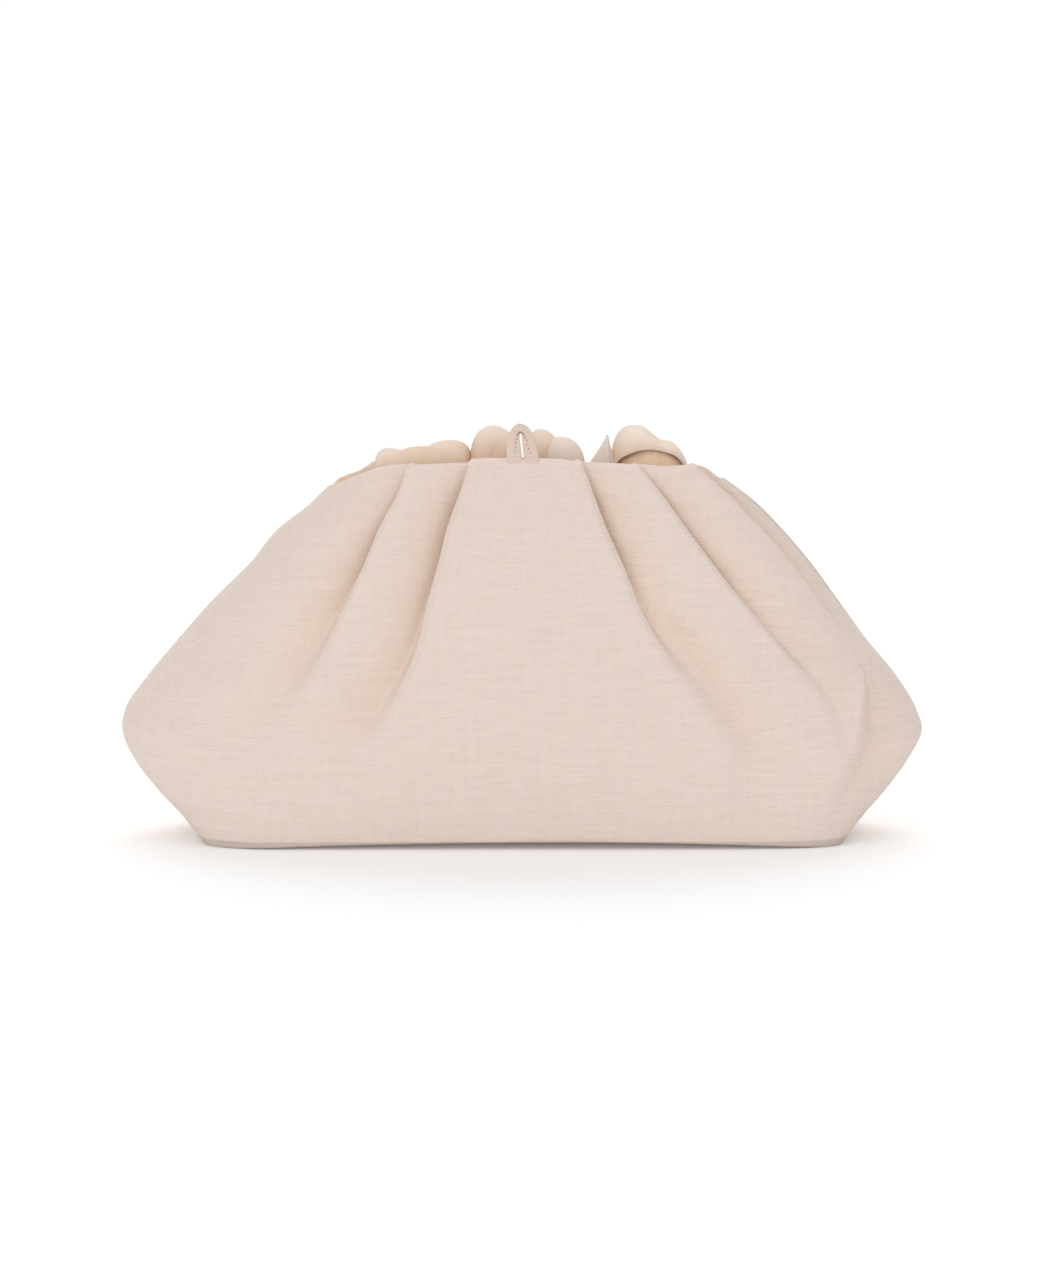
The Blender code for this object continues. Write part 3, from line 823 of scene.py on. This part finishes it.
def make_gathers(name, node, table, finish, edge=None):
    """A gathered strip: at each station along x its section climbs the back face, follows two quarter
    ellipses over the crest and comes down the front face to the strip's edge."""
    x, crest, front_y, back_y = (lobe_line(table, column) for column in ("x", "crest", "front", "back"))
    foot_z = seam_height - gather_tail
    crest_y = front_y + (back_y - front_y) * crest_lean
    knee = np.maximum(crest - lobe_height, seam_height - knee_drop)
    knee = np.minimum(knee, crest - 2 * gather_wall)
    if edge is None:
        hem_z = np.full_like(x, foot_z)
        front_knee = knee
    else:
        hem_z = curve(edge[:, 0], edge[:, 1], np.clip(x, edge[0, 0], edge[-1, 0]))
        hem_z = np.minimum(hem_z, crest - 3 * gather_wall)
        front_knee = np.clip(hem_z + gather_wall, None, crest - 2 * gather_wall)
    climb = np.linspace(0.0, 1.0, leg_cells, endpoint=False)[:, None]
    angle = np.linspace(0.0, math.pi, crest_cells + 1)[:, None]
    behind = angle <= math.pi / 2
    side_y, side_z = np.where(behind, back_y, front_y), np.where(behind, knee, front_knee)
    fall = (np.arange(1, leg_cells + 1) / leg_cells)[:, None]
    y = np.concatenate([
        back_y + 0 * climb,
        crest_y + np.cos(angle) * np.sign(np.cos(angle)) * (side_y - crest_y),
        front_y + 0 * fall,
    ])
    z = np.concatenate([
        foot_z + (knee - foot_z) * climb,
        side_z + (crest - side_z) * np.sin(angle),
        front_knee + (hem_z - front_knee) * fall,
    ])
    outer = np.stack([np.broadcast_to(x, y.shape), y, z], axis=2)
    normals = grid_normals(outer, -1)
    along = np.concatenate([[0.0], np.cumsum(np.linalg.norm(np.diff(outer[leg_cells], axis=0), axis=1))])
    waves = sum(share * np.sin(x * turn + begin) for share, turn, begin in pucker_waves)
    pinch = np.clip((crest - outer[:, :, 2]) / lobe_height, 0.0, 1.0)
    shift = normals * (pucker * waves * pinch)[:, :, None]
    inner = outer - normals * gather_wall + shift
    outer = outer + shift
    up = np.cumsum(np.linalg.norm(np.diff(outer, axis=0, prepend=outer[:1]), axis=2), axis=0)
    cloth = np.stack([np.broadcast_to(along, up.shape), up], axis=2)
    # Painted shade: darker towards each lobe's foot, plus each station's own extra painted shade
    fold_shade = np.clip(pinch_shade * pinch**1.5 + lobe_line(table, "warmth"), 0.0, 1.0)
    piece = closed_wall(name, outer, inner, cloth, fold_shade)
    piece.data.materials.append(finish)
    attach(piece, "root")
    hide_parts(node)
    return piece


# Painted light: the panels' cloth painted lighter and warmer for the lobes that stand behind the rim, with a
# painted shade colour for their hollows and lower faces
gathered_cloth = cloth_finish(
    "gathered_cloth",
    thread=(0.83, 0.72, 0.645),
    gap=(0.77, 0.65, 0.57),
    shade_colour=(0.96, 0.81, 0.67),
    contrast=0.5,
    bump=0.3,
)
# Painted shade: the tan colour of the sheet in the hood's hollow stands for the shade there
hollow_painted_shade = cloth_finish(
    "hollow_painted_shade",
    thread=(0.90, 0.71, 0.54),
    gap=(0.84, 0.63, 0.46),
    shade_colour=(1.0, 0.96, 0.90),
    contrast=0.5,
    bump=0.3,
)
rear_left_gathers = make_gathers("rear_left_gathers", "gathers_left", rear_left_lobes, gathered_cloth)
front_left_gathers = make_gathers("front_left_gathers", "gathers_left", front_left_lobes, gathered_cloth)
petal_fold = make_gathers("petal_fold", "gathers_right", petal_lobes, gathered_cloth)
hooded_fold = make_gathers("hooded_fold", "gathers_right", hood_lobes, gathered_cloth, hood_edge)
hollow_fold = make_gathers("hollow_fold", "gathers_right", hollow_lobes, hollow_painted_shade)


# Closing loop
# A narrow tape of folded cloth forms a flat loop with a slit for a small fastening. Its legs are sewn
# inside the front rim.
loop_low, loop_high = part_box("closing_loop")
loop_y = (loop_low[1] + loop_high[1]) / 2
tape = 0.0018
tape_width = 0.006
side_flatness = 0.55
face_flatness = 0.6
crease_depth = 0.10
crease_place = 0.70
crease_width = 0.05
loop_cells = 96
section_cells = 28

# The tape's outer and inner edges round the loop, in millimetres, from foot to foot
outer_edge = np.array([
    (-6.5, 136.5),
    (-6.5, 145.0),
    (-6.4, 152.0),
    (-6.2, 157.0),
    (-5.2, 161.8),
    (-3.4, 164.8),
    (-1.2, 165.8),
    (1.2, 165.1),
    (3.2, 163.2),
    (4.8, 159.9),
    (5.9, 155.6),
    (6.6, 151.0),
    (6.8, 145.0),
    (6.8, 136.5),
]) * 0.001
inner_edge = np.array([
    (-0.2, 136.5),
    (-0.2, 145.0),
    (-0.2, 152.0),
    (-0.55, 156.0),
    (-1.05, 159.5),
    (-1.05, 161.2),
    (-0.85, 161.8),
    (-0.6, 161.8),
    (-0.4, 161.2),
    (-0.25, 159.5),
    (0.05, 156.0),
    (0.4, 152.0),
    (0.4, 145.0),
    (0.4, 136.5),
]) * 0.001


def tape_point(share, width):
    """A place on the flat tape: a share of the way round the loop, and of the way from the outer edge to
    the inner one."""
    steps = np.linspace(0.0, 1.0, len(outer_edge))
    outer, inner = (
        np.stack([curve(steps, edge[:, 0], share), curve(steps, edge[:, 1], share)], axis=-1)
        for edge in (outer_edge, inner_edge)
    )
    return outer + (inner - outer) * width


# The tape's section is a flat oval, |cos(a)|^0.55 across and |sin(a)|^0.6 thick, with a shallow crease
share = np.linspace(0.0, 1.0, loop_cells + 1)[:, None]
angle = np.linspace(0.0, 2 * math.pi, section_cells, endpoint=False)
across = 0.5 - 0.5 * np.sign(np.cos(angle)) * np.abs(np.cos(angle)) ** side_flatness
puff = np.sign(np.sin(angle)) * np.abs(np.sin(angle)) ** face_flatness
puff *= 1.0 - crease_depth * np.exp(-(((across - crease_place) / crease_width) ** 2))
flat_place = tape_point(np.repeat(share, section_cells, axis=1), across[None, :, None])
grid = flat_place.shape[:2]
loop_points = np.stack([
    flat_place[:, :, 0],
    loop_y + tape / 2 * np.broadcast_to(puff, grid),
    flat_place[:, :, 1],
], axis=2)
index = np.arange(grid[0] * grid[1]).reshape(grid)
beside = np.roll(index, -1, axis=1)
loop_faces = np.stack([index[:-1], beside[:-1], beside[1:], index[1:]], axis=2).reshape(-1, 4).tolist()
loop_faces += [index[0].tolist(), index[-1, ::-1].tolist()]
around = np.concatenate([[0.0], np.cumsum(np.linalg.norm(np.diff(loop_points[:, 0], axis=0), axis=1))])
loop_cloth = np.stack([
    np.broadcast_to(across * tape_width, grid),
    np.broadcast_to(around[:, None], grid),
], axis=2)
closing_tape = new_piece("closing_tape", loop_points, loop_faces, loop_cloth)
loop_finish = cloth_finish(
    "loop_tape",
    thread=(0.665, 0.54, 0.475),
    gap=(0.58, 0.455, 0.385),
    shade_colour=(1.0, 1.0, 1.0),
    contrast=0.8,
    bump=0.4,
)
closing_tape.data.materials.append(loop_finish)
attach(closing_tape, "root")
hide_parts("closing_loop")


# Stitches round the slit
# Short lengths of reddish thread, sewn through the tape a little way out from its slit. They follow the
# slit up one leg, over the top and down the other, and show on both faces.
stitch_length = 0.0008
stitch_width = 0.00042
stitch_sink = 0.97
stitch_lift = 0.00002
stitch_shares = np.concatenate([
    np.linspace(0.20, 0.42, 8),
    np.linspace(0.46, 0.54, 3),
    np.linspace(0.58, 0.80, 8),
])
stitch_ahead = 0.01
slit_distance = 0.93
slit_spread = 1.25
wobble = 0.03
wobble_turn = 2.4
stitch_cells = 8

# Rings of a stitch from end to end: place as a share of its length, and girth as a share of its width
stitch_place, stitch_girth = np.array([(-0.5, 0.35), (-0.25, 0.9), (0.25, 0.9), (0.5, 0.35)]).T


def stitch_points(face):
    """Rings of points along every stitch on one face. With c the stitch's middle and w its way along the
    tape, a point is c + w l + n g cos(a) in the tape's plane and g sin(a) off it, where l is the ring's
    place, g its half girth, n is square to w, and a goes round."""
    number = np.arange(len(stitch_shares))
    wander = slit_distance - slit_spread * np.abs(stitch_shares - 0.5) + wobble * np.sin(wobble_turn * number)
    centre = tape_point(stitch_shares, wander[:, None])
    way = tape_point(stitch_shares + stitch_ahead, wander[:, None]) - centre
    way = way / np.linalg.norm(way, axis=1, keepdims=True)
    turn = np.linspace(0.0, 2 * math.pi, stitch_cells, endpoint=False)
    half_girth = stitch_girth[:, None] * stitch_width / 2
    along = stitch_place[:, None] * stitch_length
    aside = np.cos(turn) * half_girth
    x = centre[:, 0, None, None] + way[:, 0, None, None] * along - way[:, 1, None, None] * aside
    z = centre[:, 1, None, None] + way[:, 1, None, None] * along + way[:, 0, None, None] * aside
    y = loop_y + face * (tape / 2 * stitch_sink + stitch_lift) + np.sin(turn) * half_girth
    return np.stack([x, np.broadcast_to(y, x.shape), z], axis=3)


thread_points = np.concatenate([stitch_points(face) for face in (FRONT, BACK)])
index = np.arange(thread_points.size // 3).reshape(thread_points.shape[:3])
beside = np.roll(index, -1, axis=2)
thread_sides = np.stack([index[:, :-1], beside[:, :-1], beside[:, 1:], index[:, 1:]], axis=3)
thread_faces = thread_sides.reshape(-1, 4).tolist() + index[:, 0, ::-1].tolist() + index[:, -1].tolist()
loop_stitches = new_piece("loop_stitches", thread_points, thread_faces)
thread_finish = bpy.data.materials.new("thread")
thread_finish.use_nodes = True
thread_tree = thread_finish.node_tree
thread_shader = thread_tree.nodes["Principled BSDF"]
thread_place = thread_tree.nodes.new("ShaderNodeTexCoord").outputs["Object"]
thread_noise = noise_node(thread_tree, thread_place, (900.0, 900.0, 900.0))
thread_colour = mix_node(thread_tree, thread_noise, (0.34, 0.14, 0.10), (0.50, 0.25, 0.19))
thread_tree.links.new(thread_colour, thread_shader.inputs["Base Color"])
thread_shader.inputs["Roughness"].default_value = 0.7
loop_stitches.data.materials.append(thread_finish)
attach(loop_stitches, "root")


# Studio
# A wide pale floor in a white room, with soft light from large panels in front, at both sides, above and
# behind, and a camera two metres away and six degrees above level.
floor_material = bpy.data.materials.new("pale_floor")
floor_material.use_nodes = True
floor_shader = floor_material.node_tree.nodes["Principled BSDF"]
floor_shader.inputs["Base Color"].default_value = (0.93, 0.925, 0.92, 1.0)
floor_shader.inputs["Roughness"].default_value = 0.9
floor_shader.inputs["Specular IOR Level"].default_value = 0.1
floor_shader.inputs["Emission Color"].default_value = (1.0, 1.0, 1.0, 1.0)
floor_shader.inputs["Emission Strength"].default_value = 0.08
floor_size = 60.0
floor_mesh = bpy.data.meshes.new("floor")
floor_corners = [(x * floor_size, y * floor_size, 0) for x, y in ((-1, -1), (1, -1), (1, 1), (-1, 1))]
floor_mesh.from_pydata(floor_corners, [], [(0, 1, 2, 3)])
floor_mesh.materials.append(floor_material)
floor = bpy.data.objects.new("floor", floor_mesh)
bpy.context.collection.objects.link(floor)

world = bpy.data.worlds.new("studio")
bpy.context.scene.world = world
world.use_nodes = True
world_tree = world.node_tree
backdrop = world_tree.nodes["Background"]
backdrop.inputs["Color"].default_value = (1.0, 1.0, 1.0, 1.0)
backdrop.inputs["Strength"].default_value = 1.05
room = world_tree.nodes.new("ShaderNodeBackground")
room.inputs["Color"].default_value = (1.0, 1.0, 1.0, 1.0)
room.inputs["Strength"].default_value = 0.64
seen = world_tree.nodes.new("ShaderNodeLightPath")
either = world_tree.nodes.new("ShaderNodeMixShader")
world_tree.links.new(seen.outputs["Is Camera Ray"], either.inputs[0])
world_tree.links.new(room.outputs[0], either.inputs[1])
world_tree.links.new(backdrop.outputs[0], either.inputs[2])
world_tree.links.new(either.outputs[0], world_tree.nodes["World Output"].inputs["Surface"])


def soft_light(name, toward, spread, strength):
    """A wide, far softbox in the given direction, as many degrees across as its spread."""
    data = bpy.data.lights.new(name, "SUN")
    data.angle = math.radians(spread)
    data.energy = strength
    light = bpy.data.objects.new(name, data)
    x, y, z = np.array(toward) / np.linalg.norm(toward)
    light.rotation_euler = (math.acos(z), 0.0, math.atan2(y, x) + math.pi / 2)
    bpy.context.collection.objects.link(light)


soft_light("key_light", (-0.6, -0.8, 0.5), 45, 0.6)
soft_light("front_light", (0.0, -1.0, 0.15), 45, 0.7)
soft_light("right_light", (0.8, -0.5, 0.5), 45, 0.22)
soft_light("top_light", (0.0, -0.2, 1.0), 60, 0.08)
soft_light("back_light", (0.0, 1.0, 0.6), 60, 1.6)

camera_data = bpy.data.cameras.new("camera")
camera_data.sensor_width = 36.0
camera_distance = 2.0
picture_scale = 0.0004015
picture_height = 1280
camera_data.lens = camera_distance / picture_scale * camera_data.sensor_width / picture_height
tilt = math.radians(6.0)
aim = (0.0006, 0.0, 0.07742)
camera = bpy.data.objects.new("camera", camera_data)
camera.location = (aim[0], -camera_distance * math.cos(tilt), aim[2] + camera_distance * math.sin(tilt))
camera.rotation_euler = (math.pi / 2 - tilt, 0.0, 0.0)
bpy.context.collection.objects.link(camera)
bpy.context.scene.camera = camera
bpy.context.scene.view_settings.view_transform = "Standard"
